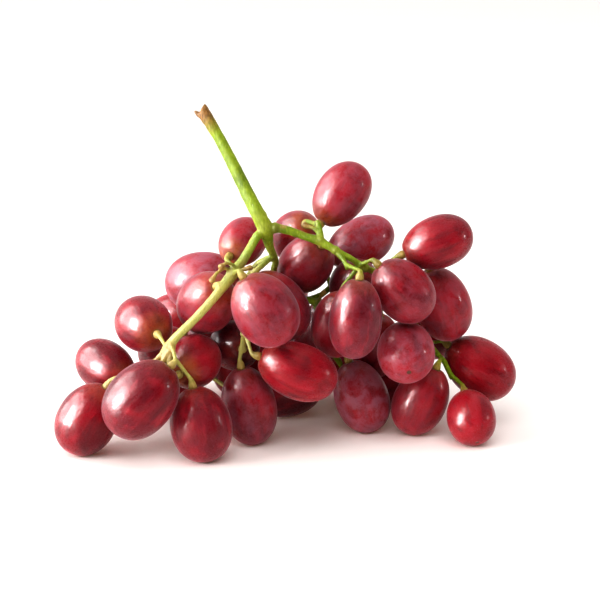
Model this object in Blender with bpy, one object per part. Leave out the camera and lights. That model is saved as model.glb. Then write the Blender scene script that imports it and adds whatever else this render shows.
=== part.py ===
"""A bunch of red table grapes, lying as a loose mound with its stalk standing up.

The tables hold millimetres: x runs along the mound, y from its front to its back, z up from
the surface that it lies on. The finished objects are in metres, with the origin on that surface
under the middle of the bunch.
"""

import math
from collections import namedtuple

import bmesh
import bpy
import numpy as np
from mathutils import Matrix, Vector

MM = 0.001

# Fullness of a grape's outline: 2 would be a plain ellipse, and more is closer to a barrel.
FULLNESS = 2.08
# The blossom end is this much wider than the stem end, as a share of the width.
TAPER = 0.05
GRAPE_SIDES = 14
GRAPE_BANDS = 9

# Room left between neighbours, round a branch, round a stalk and at a grape's stem end, and the
# depth of the flat spot under a grape that rests.
CLEARANCE = 0.3
GRAPE_GAP = 1.4 * CLEARANCE
BRANCH_ROOM = 0.8
STALK_ROOM = 0.9
END_ROOM = 2.0
FLAT_DEPTH = 0.35

# Settling: the grapes that show slide front to back, down as they go back, rather than sideways.
SETTLE_ROUNDS = 240
LOOSE_ROUNDS = 80
JOIN_EVERY = 20
PUSH_SHARE = 0.9
SLIDE_SLOPE = math.radians(-16)
SIDE_HOLD = 0.3
SLIDE_HOLD = 0.012
HIDDEN_HOLD = 0.02
# Grapes this near push a branch's free points, which move no further than this in a round.
BRANCH_REACH = 7.04
BRANCH_SHIFT = 1.5
# The search for the widest gap between two grapes: its steps, and how far each one turns.
GAP_STEPS = 6
GAP_TURN = 0.7

# A stalk to each grape: thin neck, wider cushion against the skin, root sunk in the branch.
NECK_RADIUS = 0.72
ROOT_RADIUS = 0.95
CUSHION = ((0.0, 1.25), (0.8, 1.5), (2.5, 0.78))
STALK_STEP = 4.0
STALK_ROUNDS = 90
# Roots are looked for every so far along the branches, ahead of the grape's stem end, and not on
# the bare top share of the main stalk.
ROOT_STEP = 2.0
ROOT_AHEAD = 2.0
ROOT_CHOICES = 6
BARE_SHARE = 0.45
# A stalk bows out of the grape by a share of its length, up to a limit, and is drawn straight by
# this share in a round; the cost of dipping into a grape is against its length.
BOW_SHARE = 0.45
BOW_LIMIT = 4.0
BOW_SWELL = 1.2
STALK_PULL = 0.35
DIP_COST = 60

BRANCH_STEP = 4.4
ROUTE_STEP = 1.0
THIN = (1.0, 1.0)
WELD = 0.002 * MM
# Roundness of the tubes: the stalk, the two branches in front, and everything else.
AXIS_SIDES = 3
BRANCH_SIDES = 2
STALK_SIDES = 1

Grape = namedtuple("Grape", "name x y z lean back length width rests seen")
Branch = namedtuple("Branch", "name route radii free")


def grape(number, place, lean, back, length, width, rests=False, seen=True):
    """A grape by its middle, the way its blossom end points, and its size.

    lean is that way as seen from the front, anticlockwise from +X; back is how far it turns to
    the back of the bunch. Both are in degrees.
    """
    return Grape(f"grape_{number:02d}", *place, lean, back, length, width, rests, seen)


LEFT_END = (
    grape(1, (-63.8, -24, 12), 240, 0, 25.2, 19.6, rests=True),
    grape(2, (-59.2, -14, 25.6), 165, 50, 24.6, 16.8),
    grape(3, (-45.2, -39, 23.0), 228, -10, 28.0, 21.6),
    grape(4, (-46, -8, 38.8), 180, 66, 24.0, 18.2),
    grape(5, (-26.5, 15, 44.5), 190, 10, 26.0, 20.0),
    grape(6, (-25, -9, 47), 246, 48, 26.4, 19.2),
    grape(7, (-38, 24, 30.5), 215, 35, 24.0, 17.6),
    grape(8, (-13.5, 8, 63.0), 30, 62, 20.5, 15.0),
    grape(9, (-28.6, -15, 28.0), 15, 66, 21.0, 17.2),
    grape(10, (-26.6, -29, 12.3), 282, -8, 24.8, 19.8, rests=True),
)

MIDDLE = (
    grape(11, (-11.4, -16, 13.2), 280, 0, 26.8, 18.0, rests=True),
    grape(12, (-17.2, 0, 29), 220, 72, 22.0, 16.6),
    grape(13, (-25.5, 14, 31), 250, 40, 23.0, 17.0),
    grape(14, (-5.6, -30, 50.3), 303, -5, 25.0, 20.4),
    grape(15, (-1.5, -9, 46), 305, 5, 25.6, 18.4),
    grape(16, (5.0, -22, 27.2), 339, 0, 26.8, 18.3),
    grape(17, (2, 10, 10), 10, 20, 24.6, 18.0, rests=True),
    grape(18, (8.3, 7, 55.6), 240, 38, 24.0, 17.6),
    grape(19, (4.5, 22, 61.5), 245, 52, 23.0, 16.6),
    grape(20, (12, 9, 28), 250, -10, 23.4, 16.8),
)

RIGHT_END = (
    grape(21, (19.6, 4, 80.4), 52, 20, 23.4, 17.0),
    grape(22, (26.5, 15, 60.5), 22, 25, 25.0, 16.6),
    grape(23, (51.0, 0, 64.3), 18, 8, 23.8, 17.2),
    grape(24, (39.4, -15, 52.4), 314, -5, 23.2, 18.4),
    grape(25, (53.4, 3, 42.8), 290, 5, 26.2, 18.8),
    grape(26, (23.8, -25, 45.9), 265, -5, 26.2, 17.0),
    grape(27, (40.6, -16, 32.0), 280, -70, 22.5, 18.8),
    grape(28, (66.9, 2, 20.8), 325, -5, 25.8, 19.6),
    grape(29, (62.6, -16, 9), 285, -45, 19.0, 16.0, rests=True),
    grape(30, (27.4, 2, 12), 290, -12, 25.0, 18.0, rests=True),
    grape(31, (45.8, -7, 12.4), 246, 0, 24.6, 17.9, rests=True),
    grape(32, (37, 17, 10), 10, 25, 23.4, 17.0, rests=True),
    grape(33, (31.5, 6, 26), 265, 15, 23.4, 16.8),
    grape(34, (18.2, -1, 37.4), 262, 10, 23.0, 16.8),
    grape(35, (51.2, 17, 30.2), 285, 20, 23.4, 16.6),
    grape(36, (-40, 3, 26.5), 215, 45, 22.0, 16.2),
    grape(47, (23.5, 11, 47.5), 262, 50, 22.6, 16.8),
)

BACK = (
    grape(37, (-53, 12, 10), 195, 20, 24.6, 18.2, rests=True, seen=False),
    grape(38, (-39, 29, 10), 215, 45, 25.0, 18.4, rests=True, seen=False),
    grape(39, (-16, 30, 12), 265, 30, 25.0, 18.4, rests=True, seen=False),
    grape(40, (-13, 22, 33), 255, 35, 24.4, 18.0, seen=False),
    grape(41, (6, 34, 11), 300, 40, 24.4, 18.0, rests=True, seen=False),
    grape(42, (28, 27, 35), 280, 40, 24.4, 17.6, seen=False),
    grape(43, (24, 35, 10), 340, 35, 24.0, 17.6, rests=True, seen=False),
    grape(44, (43, 31, 36), 330, 35, 24.0, 17.4, seen=False),
    grape(45, (-20, 34, 31), 230, 50, 24.6, 18.0, seen=False),
    grape(46, (-4, 34, 35), 265, 55, 24.6, 18.0, seen=False),
)

GRAPES = LEFT_END + MIDDLE + RIGHT_END + BACK

# Each branch of the stem: the points of its centre line, its radius at evenly spread places from
# root to tip, and how many of its last points give way to the grapes.
BRANCHES = (
    Branch(
        "axis",
        (
            (-27.1, -4, 111.9),
            (-20.7, -6, 101.8),
            (-16.0, -8, 93.0),
            (-11.9, -10, 84.9),
            (-7.9, -12, 77.4),
            (-5.6, -12, 72.6),
            (-4.2, -9, 65.5),
            (-2.3, -3, 59.0),
            (-0.3, 3.5, 54.0),
            (5.0, 6, 48.0),
            (12.0, 5, 42.5),
            (14.0, 1, 34.0),
            (15.0, 10, 22.5),
        ),
        (2.1, 1.65, 1.85, 2.05, 2.2, 2.5, 1.35, 1.15, 1.15, 1.1, 1.35, 1.05, 0.95),
        6,
    ),
    Branch(
        "left",
        (
            (-6.4, -12, 73.8),
            (-8.4, -13.4, 70.4),
            (-10.8, -15, 66.4),
            (-13.1, -17, 62.9),
            (-15.7, -20, 60.0),
            (-22.2, -24, 52.6),
            (-28.4, -27, 46.2),
            (-34.4, -28.5, 40.7),
            (-37.4, -28.3, 36.8),
            (-40.0, -26.5, 31.8),
        ),
        (1.6, 1.5, 1.5, 1.6, 2.0, 1.5, 1.45, 1.5, 1.75, 1.1),
        1,
    ),
    Branch(
        "right",
        (
            (-5.6, -12, 74.0),
            (-1.4, -11.8, 72.8),
            (2.4, -11.5, 71.8),
            (7.3, -11, 69.8),
            (12.2, -11, 68.2),
            (17.5, -11.5, 65.1),
            (22.1, -11.5, 62.6),
            (27.0, -10.5, 59.0),
            (31.0, -5, 55.0),
            (36.0, 2, 49.0),
            (43.0, 5, 39.5),
            (49.5, 2, 30.0),
            (53.0, -1, 23.0),
            (55.5, -4, 18.0),
        ),
        (1.7, 1.45, 1.35, 1.3, 1.5, 1.2, 1.05, 1.2, 1.0, 1.0, 1.0, 0.95, 0.95, 0.9),
        6,
    ),
    Branch(
        "right_fork",
        ((17.0, -11.5, 65.3), (19.8, -13.4, 62.6), (21.4, -16, 60.0)),
        (1.15, 0.85, 0.8),
        0,
    ),
    Branch(
        "upper_spur",
        ((12.2, -11, 68.4), (12.3, -9.5, 71.3), (11.3, -7.4, 74.2)),
        (1.3, 0.95, 0.9),
        0,
    ),
    Branch(
        "front",
        (
            (-3.7, -7.5, 63.8),
            (-8.0, -9.5, 58.5),
            (-11.5, -12.5, 51.0),
            (-12.6, -15.8, 44.0),
            (-12.6, -17.5, 38.5),
        ),
        (1.2, 1.05, 1.0, 0.95, 1.05),
        3,
    ),
    Branch(
        "back_left",
        (
            (-3.6, -6.5, 62.8),
            (-8.0, -1, 58.0),
            (-12.0, 5, 51.0),
            (-15.5, 13, 43.0),
            (-22.0, 21, 38.5),
            (-29.0, 27, 39.5),
            (-37.0, 24, 40.0),
        ),
        (1.3, 1.25, 1.2, 1.2, 1.1, 1.0, 0.9),
        6,
    ),
    Branch(
        "back_low",
        (
            (-15.5, 13, 43.0),
            (-20.0, 18, 30.0),
            (-26.5, 20.5, 19.4),
            (-36.6, 17.4, 17.4),
        ),
        (1.1, 1.0, 1.0, 0.9),
        3,
    ),
    Branch(
        "back_middle",
        ((-0.2, 4, 53.6), (-0.5, 12, 50.5), (-3.0, 20, 46.5), (-4.0, 25, 45.0)),
        (1.2, 1.0, 1.0, 0.9),
        3,
    ),
    Branch(
        "back_right",
        (
            (8.5, 5.6, 45.3),
            (15.5, 10, 44.5),
            (23.0, 15, 47.5),
            (31.0, 20, 48.5),
        ),
        (1.2, 1.1, 1.0, 0.9),
        3,
    ),
    Branch(
        "low_back",
        ((14.9, 9, 23.7), (14.5, 17, 22.0), (15.5, 24, 22.0), (22.0, 27, 23.0)),
        (1.05, 1.0, 0.95, 0.9),
        3,
    ),
)

# Stalks that have lost their grape: root, bend and tip.
BARE_STALKS = (
    ((-15.7, -20, 60.0), (-18.6, -21.5, 62.0), (-21.2, -23.2, 60.8), (-22.7, -24.6, 58.7)),
    ((-15.5, -19.5, 60.4), (-15.6, -20.8, 63.4), (-18.0, -22.0, 64.4), (-19.8, -22.8, 62.8)),
    ((-15.5, -19.5, 60.0), (-12.8, -20.8, 61.2), (-10.5, -20.6, 61.8)),
    ((12.2, -9.9, 70.6), (9.6, -9.0, 72.8), (7.2, -8.4, 73.0)),
    ((12.0, 5, 42.5), (13.2, 3.6, 45.4), (13.6, 2.4, 46.8)),
    ((-37.4, -28.3, 36.8), (-36.0, -30.0, 34.2), (-36.2, -31.0, 31.6)),
)
BARE_RADII = (0.9, 0.65, 0.62, 0.95)

SKIN_RED = (0.42, 0.02, 0.045, 1.0)
SKIN_ROUGHNESS = 0.3
STEM_GREEN = (0.45, 0.55, 0.10, 1.0)
STEM_ROUGHNESS = 0.5

# How far the cut across the stalk's top is tilted out of square, and the length it takes off.
CUT_TILT = math.radians(-30)
CUT_BACK = 1.6


def unit(vectors):
    return vectors / np.maximum(np.linalg.norm(vectors, axis=-1, keepdims=True), 1e-9)


def axes_of(grapes):
    """The unit way from each grape's stem end to its blossom end."""
    lean = np.radians([g.lean for g in grapes])
    back = np.radians([g.back for g in grapes])
    flat = np.cos(back)
    return np.stack([flat * np.cos(lean), np.sin(back), flat * np.sin(lean)], axis=-1)


def reach(axis, half_length, half_width, way):
    """How far a grape reaches from its middle along a unit way, and the point that does."""
    power = FULLNESS / (FULLNESS - 1)
    along = (way * axis).sum(-1)
    across_way = way - along[..., None] * axis
    across = np.maximum(np.linalg.norm(across_way, axis=-1), 1e-9)
    end, side = half_length * np.abs(along), half_width * across
    far = (end**power + side**power) ** (1 / power)
    lengthways = (end / far) ** (power - 1) * half_length * np.sign(along)
    sideways = (side / far) ** (power - 1) * half_width
    return far, lengthways[..., None] * axis + (sideways / across)[..., None] * across_way


def gap_between(offset, first, second):
    """The gap along the best unit way between two bodies, the second lying at offset.

    A body is (axis, half length, half width), or a radius for a ball.
    """
    distance = np.maximum(np.linalg.norm(offset, axis=-1, keepdims=True), 1e-6)
    way = offset / distance
    best_gap, best_way = None, way
    for _ in range(GAP_STEPS):
        far, point = reach(*first, way)
        if isinstance(second, tuple):
            far_two, point_two = reach(*second, way)
        else:
            far_two, point_two = second, second[..., None] * way
        gap = (offset * way).sum(-1) - far - far_two
        if best_gap is None:
            best_gap, best_way = gap, way
        better = gap > best_gap
        best_gap = np.where(better, gap, best_gap)
        best_way = np.where(better[..., None], way, best_way)
        way = unit(way + GAP_TURN * (offset - point - point_two) / distance)
    return best_gap, best_way


def smooth_route(route, radii, step):
    """Points about step apart on a smooth curve through the route, with their radii."""
    route = np.array(route, float)
    radii = np.interp(np.linspace(0, 1, len(route)), np.linspace(0, 1, len(radii)), radii)
    rows, widths = [], []
    for i in range(len(route) - 1):
        before = route[max(i - 1, 0)]
        start, end = route[i], route[i + 1]
        after = route[min(i + 2, len(route) - 1)]
        pieces = max(1, round(np.linalg.norm(end - start) / step))
        for k in range(pieces):
            t = k / pieces
            rows.append(
                0.5
                * (
                    2 * start
                    + (end - before) * t
                    + (2 * before - 5 * start + 4 * end - after) * t**2
                    + (3 * start - before - 3 * end + after) * t**3
                )
            )
            widths.append(radii[i] + (radii[i + 1] - radii[i]) * t)
    rows.append(route[-1])
    widths.append(radii[-1])
    return np.array(rows), np.array(widths)


class Bunch:
    """The places of the grapes and of the branches' route points, in millimetres."""

    def __init__(self):
        self.axis = axes_of(GRAPES)
        self.half_length = np.array([g.length / 2 for g in GRAPES])
        self.half_width = np.array([g.width / 2 * (1 + TAPER / 2) for g in GRAPES])
        self.place = np.array([(g.x, g.y, g.z) for g in GRAPES], float)
        self.start = self.place.copy()
        self.rests = np.array([g.rests for g in GRAPES])
        self.seen = np.array([g.seen for g in GRAPES])
        self.routes = [np.array(b.route, float) for b in BRANCHES]
        slide = np.array([0, math.cos(SLIDE_SLOPE), math.sin(SLIDE_SLOPE)])
        held = np.eye(3) * SIDE_HOLD + np.outer(slide, slide) * (SLIDE_HOLD - SIDE_HOLD)
        free = np.eye(3) * HIDDEN_HOLD
        self.hold = np.where(self.seen[:, None, None], held, free)
        self.first, self.second = np.triu_indices(len(GRAPES), 1)

    def shape(self, index):
        return self.axis[index], self.half_length[index], self.half_width[index]

    def grape_pushes(self):
        """How far each grape's neighbours push it."""
        one, two = self.first, self.second
        gap, way = gap_between(
            self.place[two] - self.place[one], self.shape(one), self.shape(two)
        )
        short = np.maximum(GRAPE_GAP - gap, 0)[:, None] * way * 0.5
        push = np.zeros_like(self.place)
        np.add.at(push, one, -short)
        np.add.at(push, two, short)
        return push

    def stem_end_pushes(self):
        """How far the room for each grape's stalk and cushion pushes the other grapes."""
        ends = self.place - self.axis * (self.half_length + END_ROOM)[:, None]
        offset = ends[None] - self.place[:, None]
        many = offset.shape[:2]
        body = (
            np.broadcast_to(self.axis[:, None], offset.shape),
            np.broadcast_to(self.half_length[:, None], many),
            np.broadcast_to(self.half_width[:, None], many),
        )
        gap, way = gap_between(offset, body, np.full(many, END_ROOM))
        np.fill_diagonal(gap, 1e3)
        short = np.maximum(CLEARANCE - gap, 0)[..., None] * way * 0.5
        return short.sum(0) - short.sum(1)

    def branch_pushes(self):
        """How far the branches push each grape, and the grapes each free route point."""
        push = np.zeros_like(self.place)
        for number, branch in enumerate(BRANCHES):
            route = self.routes[number]
            points, radii = smooth_route(route, branch.radii, BRANCH_STEP)
            offset = points[None] - self.place[:, None]
            many = offset.shape[:2]
            body = (
                np.broadcast_to(self.axis[:, None], offset.shape),
                np.broadcast_to(self.half_length[:, None], many),
                np.broadcast_to(self.half_width[:, None], many),
            )
            gap, way = gap_between(offset, body, np.broadcast_to(radii, many))
            short = np.maximum(BRANCH_ROOM - gap, 0)[..., None] * way
            push -= 0.5 * short.sum(1)
            on_points = short.sum(0)
            fixed = len(route) - branch.free
            for k in range(fixed, len(route)):
                near = np.linalg.norm(points - route[k], axis=1) < BRANCH_REACH
                shift = on_points[near].sum(0) * 0.5
                route[k] += shift * min(1.0, BRANCH_SHIFT / (1e-9 + np.linalg.norm(shift)))
        return push

    def join_branches(self):
        """Puts each side branch's root back on the branch that it leaves."""
        for number in range(1, len(BRANCHES)):
            root = np.array(BRANCHES[number].route[0], float)
            best, shift = 1e9, None
            for other in range(number):
                drawn, _ = smooth_route(BRANCHES[other].route, THIN, ROUTE_STEP)
                now, _ = smooth_route(self.routes[other], THIN, ROUTE_STEP)
                if len(now) != len(drawn):
                    share = np.linspace(0, 1, len(drawn))
                    now = np.stack(
                        [np.interp(share, np.linspace(0, 1, len(now)), c) for c in now.T],
                        axis=-1,
                    )
                distance = np.linalg.norm(drawn - root, axis=1)
                nearest = distance.argmin()
                if distance[nearest] < best:
                    best, shift = distance[nearest], now[nearest] - drawn[nearest]
            self.routes[number][0] = root + shift

    def rejoined(self, route):
        """A bare stalk's route, moved so that its root is on the nearest branch."""
        route = np.array(route, float)
        near = np.concatenate([smooth_route(r, THIN, ROUTE_STEP)[0] for r in self.routes])
        return route + near[np.linalg.norm(near - route[0], axis=1).argmin()] - route[0]

    def ground(self):
        """Keeps the grapes above the surface, and the resting ones on it."""
        down = np.broadcast_to(np.array([0.0, 0.0, -1.0]), self.place.shape)
        low, _ = reach(self.axis, self.half_length, self.half_width, down)
        height = self.place[:, 2]
        self.place[:, 2] = np.where(
            self.rests, low - FLAT_DEPTH, np.maximum(height, low + 2 * CLEARANCE)
        )

    def settle(self):
        for turn in range(SETTLE_ROUNDS + LOOSE_ROUNDS):
            push = self.grape_pushes()
            push += self.branch_pushes()
            push += self.stem_end_pushes()
            if turn < SETTLE_ROUNDS:
                push += np.einsum("nij,nj->ni", self.hold, self.start - self.place)
            self.place += PUSH_SHARE * push
            self.ground()
            if (turn + 1) % JOIN_EVERY == 0:
                self.join_branches()
        self.join_branches()

    def depth(self, points, room):
        """How far points with this room round them dip into the grapes, and the ways out."""
        offset = points[..., None, :] - self.place
        along = (offset * self.axis).sum(-1)
        across_way = offset - along[..., None] * self.axis
        across = np.linalg.norm(across_way, axis=-1)
        end = np.abs(along) / (self.half_length + room[..., None])
        side = across / (self.half_width + room[..., None])
        size = (end**FULLNESS + side**FULLNESS) ** (1 / FULLNESS)
        size = np.maximum(size, 1e-6)
        inside = np.maximum(1 / size - 1, 0) * np.linalg.norm(offset, axis=-1)
        slope = (
            (end ** (FULLNESS - 1) / (self.half_length + room[..., None]) * np.sign(along))[
                ..., None
            ]
            * self.axis
            + (
                side ** (FULLNESS - 1)
                / (self.half_width + room[..., None])
                / np.maximum(across, 1e-6)
            )[..., None]
            * across_way
        )
        return inside, unit(slope)


def stalk_routes(bunch):
    """For each grape, the route of its stalk from a branch to its stem end, with radii."""
    roots, root_ways = [], []
    for branch, route in zip(BRANCHES, bunch.routes):
        points, _ = smooth_route(route, branch.radii, ROOT_STEP)
        first = 0 if branch.name != "axis" else int(BARE_SHARE * len(points))
        roots.append(points[first + 1 : -1])
    roots = np.concatenate(roots)
    found = []
    for number in range(len(GRAPES)):
        out = -bunch.axis[number]
        skin = bunch.place[number] + out * (bunch.half_length[number] + CLEARANCE)
        neck = skin + out * CUSHION[-1][0]
        order = np.linalg.norm(roots - neck - out * ROOT_AHEAD, axis=1).argsort()
        chosen = order[::2][:ROOT_CHOICES]
        best, best_cost = None, 1e9
        for root in roots[chosen]:
            route, cost = route_stalk(bunch, root, neck, out)
            if cost < best_cost:
                best, best_cost = route, cost
        tip = [skin + out * offset for offset, _ in reversed(CUSHION[:-1])]
        route = np.vstack([best, tip])
        plain = np.linspace(ROOT_RADIUS, NECK_RADIUS, len(best) - 1)
        radii = np.concatenate([plain, [radius for _, radius in reversed(CUSHION)]])
        found.append((route, radii))
    return found


def route_stalk(bunch, root, neck, out):
    """A smooth route from a branch to a grape's neck that keeps clear of every grape."""
    length = np.linalg.norm(neck - root)
    pieces = max(2, math.ceil(length / STALK_STEP))
    share = np.linspace(0, 1, pieces + 1)[:, None]
    bow = out * BOW_SWELL * min(BOW_LIMIT, BOW_SHARE * length)
    route = root + (neck - root) * share + bow * share * (1 - share) ** 0.5
    route[0], route[-1] = root, neck
    room = np.full(len(route), NECK_RADIUS + STALK_ROOM)
    for _ in range(STALK_ROUNDS):
        inside, way = bunch.depth(route, room)
        push = (inside[..., None] * way).sum(1)
        pull = np.zeros_like(route)
        pull[1:-1] = STALK_PULL * ((route[:-2] + route[2:]) / 2 - route[1:-1])
        route[1:-1] += (push + pull)[1:-1]
    inside, _ = bunch.depth(route, room)
    steps = np.linalg.norm(np.diff(route, axis=0), axis=1)
    return route, steps.sum() + DIP_COST * inside[1:].sum()


def tube_mesh(name, points, radii, roundness):
    """A closed tube mesh along the points, made as a curve with a bevel."""
    curve = bpy.data.curves.new(name, "CURVE")
    curve.dimensions = "3D"
    curve.bevel_depth = MM
    curve.bevel_resolution = roundness
    curve.use_fill_caps = True
    spline = curve.splines.new("POLY")
    spline.points.add(len(points) - 1)
    for target, place, radius in zip(spline.points, points, radii):
        target.co = (*(place * MM), 1.0)
        target.radius = radius
    drawn = bpy.data.objects.new(name, curve)
    bpy.context.scene.collection.objects.link(drawn)
    bpy.context.view_layer.update()
    graph = bpy.context.evaluated_depsgraph_get()
    mesh = bpy.data.meshes.new_from_object(drawn.evaluated_get(graph))
    place = drawn.matrix_world.copy()
    bpy.data.objects.remove(drawn)
    solid = bpy.data.objects.new(name, mesh)
    solid.matrix_world = place
    work = bmesh.new()
    work.from_mesh(mesh)
    bmesh.ops.remove_doubles(work, verts=work.verts, dist=WELD)
    bmesh.ops.recalc_face_normals(work, faces=work.faces)
    work.to_mesh(mesh)
    work.free()
    return solid


def cut_top(solid, top, way):
    """Cuts the stalk's end off on a slant, as a cluster is snipped from its vine."""
    slant = Matrix.Rotation(CUT_TILT, 3, "Y") @ Vector(way)
    work = bmesh.new()
    work.from_mesh(solid.data)
    whole = [*work.verts, *work.edges, *work.faces]
    cut = bmesh.ops.bisect_plane(
        work,
        geom=whole,
        plane_co=Vector((top + way * -CUT_BACK) * MM),
        plane_no=slant,
        clear_outer=True,
    )
    rim = [e for e in cut["geom_cut"] if isinstance(e, bmesh.types.BMEdge)]
    bmesh.ops.edgeloop_fill(work, edges=rim)
    bmesh.ops.recalc_face_normals(work, faces=work.faces)
    work.to_mesh(solid.data)
    work.free()


def keep_main_body(solid):
    """Keeps the one body that the tubes make together, without specks beside or inside it."""
    work = bmesh.new()
    work.from_mesh(solid.data)
    bmesh.ops.triangulate(work, faces=work.faces)
    left = set(work.faces)
    bodies = []
    while left:
        body, rim = set(), {left.pop()}
        while rim:
            body |= rim
            sides = {side for face in rim for side in face.edges if len(side.link_faces) == 2}
            rim = {face for side in sides for face in side.link_faces} - body
        left -= body
        bodies.append(body)
    main_body = max(bodies, key=len)
    specks = [face for body in bodies if body is not main_body for face in body]
    bmesh.ops.delete(work, geom=specks, context="FACES")
    work.to_mesh(solid.data)
    work.free()


def make_stem(bunch, material):
    """The whole stem as one solid: stalk, branches and a short stalk to every grape."""
    pieces = bpy.data.collections.new("stem_pieces")
    bpy.context.scene.collection.children.link(pieces)
    axis_branch = BRANCHES[0]
    points, radii = smooth_route(bunch.routes[0], axis_branch.radii, BRANCH_STEP)
    stem = tube_mesh("stem", points, radii, AXIS_SIDES)
    cut_top(stem, points[0], unit(points[0] - points[1]))
    bpy.context.scene.collection.objects.link(stem)
    for branch, route in zip(BRANCHES[1:], bunch.routes[1:]):
        points, radii = smooth_route(route, branch.radii, BRANCH_STEP)
        sides = BRANCH_SIDES if branch.name in ("left", "right") else STALK_SIDES
        pieces.objects.link(tube_mesh(branch.name, points, radii, sides))
    for item, (route, radii) in zip(GRAPES, stalk_routes(bunch)):
        pieces.objects.link(tube_mesh(f"{item.name}_stalk", route, radii, STALK_SIDES))
    for number, route in enumerate(BARE_STALKS):
        points, radii = smooth_route(bunch.rejoined(route), BARE_RADII, STALK_STEP)
        pieces.objects.link(tube_mesh(f"bare_stalk_{number}", points, radii, STALK_SIDES))
    join = stem.modifiers.new("join", "BOOLEAN")
    join.operation = "UNION"
    join.operand_type = "COLLECTION"
    join.collection = pieces
    join.solver = "MANIFOLD"
    bpy.context.view_layer.update()
    graph = bpy.context.evaluated_depsgraph_get()
    stem.data = bpy.data.meshes.new_from_object(stem.evaluated_get(graph))
    stem.modifiers.clear()
    keep_main_body(stem)
    for item in list(pieces.objects):
        bpy.data.objects.remove(item)
    bpy.data.collections.remove(pieces)
    stem.data.materials.clear()
    stem.data.materials.append(material)
    return stem


def make_grape(item, place, axis, material):
    """One grape: a sphere drawn out to a full oval, with a flat spot where it rests."""
    work = bmesh.new()
    bmesh.ops.create_uvsphere(
        work, u_segments=GRAPE_SIDES, v_segments=GRAPE_BANDS, radius=1.0
    )
    turn = Vector(axis).to_track_quat("Z", "Y").to_matrix()
    for vertex in work.verts:
        angle = math.atan2(vertex.co.xy.length, vertex.co.z)
        across, along = abs(math.sin(angle)), math.cos(angle)
        size = (across**FULLNESS + abs(along) ** FULLNESS) ** (-1 / FULLNESS)
        height = along * size * item.length / 2
        radius = across * size * item.width / 2 * (1 + TAPER * along * size)
        around = vertex.co.xy.normalized() if vertex.co.xy.length > 1e-6 else Vector((0, 0))
        vertex.co = turn @ Vector((around.x * radius, around.y * radius, height)) * MM
    middle = Vector(place) * MM
    if item.rests:
        lowest = min(v.co.z for v in work.verts)
        middle.z = -lowest - FLAT_DEPTH * MM
        cut = bmesh.ops.bisect_plane(
            work,
            geom=[*work.verts, *work.edges, *work.faces],
            plane_co=(0, 0, -middle.z),
            plane_no=(0, 0, -1),
            clear_outer=True,
        )
        rim = [e for e in cut["geom_cut"] if isinstance(e, bmesh.types.BMEdge)]
        bmesh.ops.edgeloop_fill(work, edges=rim)
        bmesh.ops.recalc_face_normals(work, faces=work.faces)
    mesh = bpy.data.meshes.new(item.name)
    work.to_mesh(mesh)
    work.free()
    mesh.materials.append(material)
    mesh.shade_smooth()
    made = bpy.data.objects.new(item.name, mesh)
    made.location = middle
    return made


def plain_material(name, colour, roughness):
    material = bpy.data.materials.new(name)
    material.use_nodes = True
    shader = material.node_tree.nodes["Principled BSDF"]
    shader.inputs["Base Color"].default_value = colour
    shader.inputs["Roughness"].default_value = roughness
    shader.inputs["Metallic"].default_value = 0.0
    material.diffuse_color = colour
    return material


def centre_on_origin(objects):
    """Moves the bunch sideways, so that the origin is under the middle of its box."""
    bpy.context.view_layer.update()
    corners = np.array(
        [o.matrix_world @ v.co for o in objects for v in o.data.vertices], float
    )
    middle = (corners.min(0) + corners.max(0)) / 2
    for item in objects:
        item.location -= Vector((middle[0], middle[1], 0.0))


def main():
    for item in list(bpy.data.objects):
        bpy.data.objects.remove(item)
    parts = bpy.data.collections.new("bunch_of_grapes")
    bpy.context.scene.collection.children.link(parts)
    skin = plain_material("grape_skin", SKIN_RED, SKIN_ROUGHNESS)
    green = plain_material("green_stem", STEM_GREEN, STEM_ROUGHNESS)
    bunch = Bunch()
    bunch.settle()
    stem = make_stem(bunch, green)
    bpy.context.scene.collection.objects.unlink(stem)
    parts.objects.link(stem)
    made = [stem]
    for item, place, axis in zip(GRAPES, bunch.place, bunch.axis):
        piece = make_grape(item, place, axis, skin)
        parts.objects.link(piece)
        made.append(piece)
    centre_on_origin(made)


main()
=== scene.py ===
import math
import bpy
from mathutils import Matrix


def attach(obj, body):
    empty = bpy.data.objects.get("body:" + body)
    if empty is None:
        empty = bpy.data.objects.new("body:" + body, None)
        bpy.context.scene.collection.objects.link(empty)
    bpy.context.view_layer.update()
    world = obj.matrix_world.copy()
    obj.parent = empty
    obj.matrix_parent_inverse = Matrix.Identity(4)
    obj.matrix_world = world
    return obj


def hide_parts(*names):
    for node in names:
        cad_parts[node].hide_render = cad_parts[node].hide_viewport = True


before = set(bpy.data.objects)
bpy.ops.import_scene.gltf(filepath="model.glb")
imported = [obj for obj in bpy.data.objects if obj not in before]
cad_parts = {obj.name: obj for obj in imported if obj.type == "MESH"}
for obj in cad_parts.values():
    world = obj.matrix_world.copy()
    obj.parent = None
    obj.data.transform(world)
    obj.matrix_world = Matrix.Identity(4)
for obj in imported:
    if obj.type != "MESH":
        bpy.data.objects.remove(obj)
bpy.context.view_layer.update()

import zlib
from collections import namedtuple

import bmesh
import bpy
import numpy as np
from mathutils import Vector, noise

# Named lengths are in millimetres, except where a comment says metres.
MM = 0.001

# The solids' places are the drawing's, less this: the middle of the bunch on the surface.
MIDDLE = Vector((2.055, -1.029, 0.0)) * MM

# Reading the solids, in metres: corners this near are one, and a solid this low is on the surface.
SAME_CORNER = 2e-7
ON_SURFACE = 1e-5
# A pole of a grape's solid joins this many triangles or more. Corners that stand out by this share
# of the widest or more count as its widest, and lie about so many degrees round from an end.
POLE_TRIANGLES = 12
WIDEST_SHARE = 0.975
WIDEST_ANGLE = 80

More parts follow.
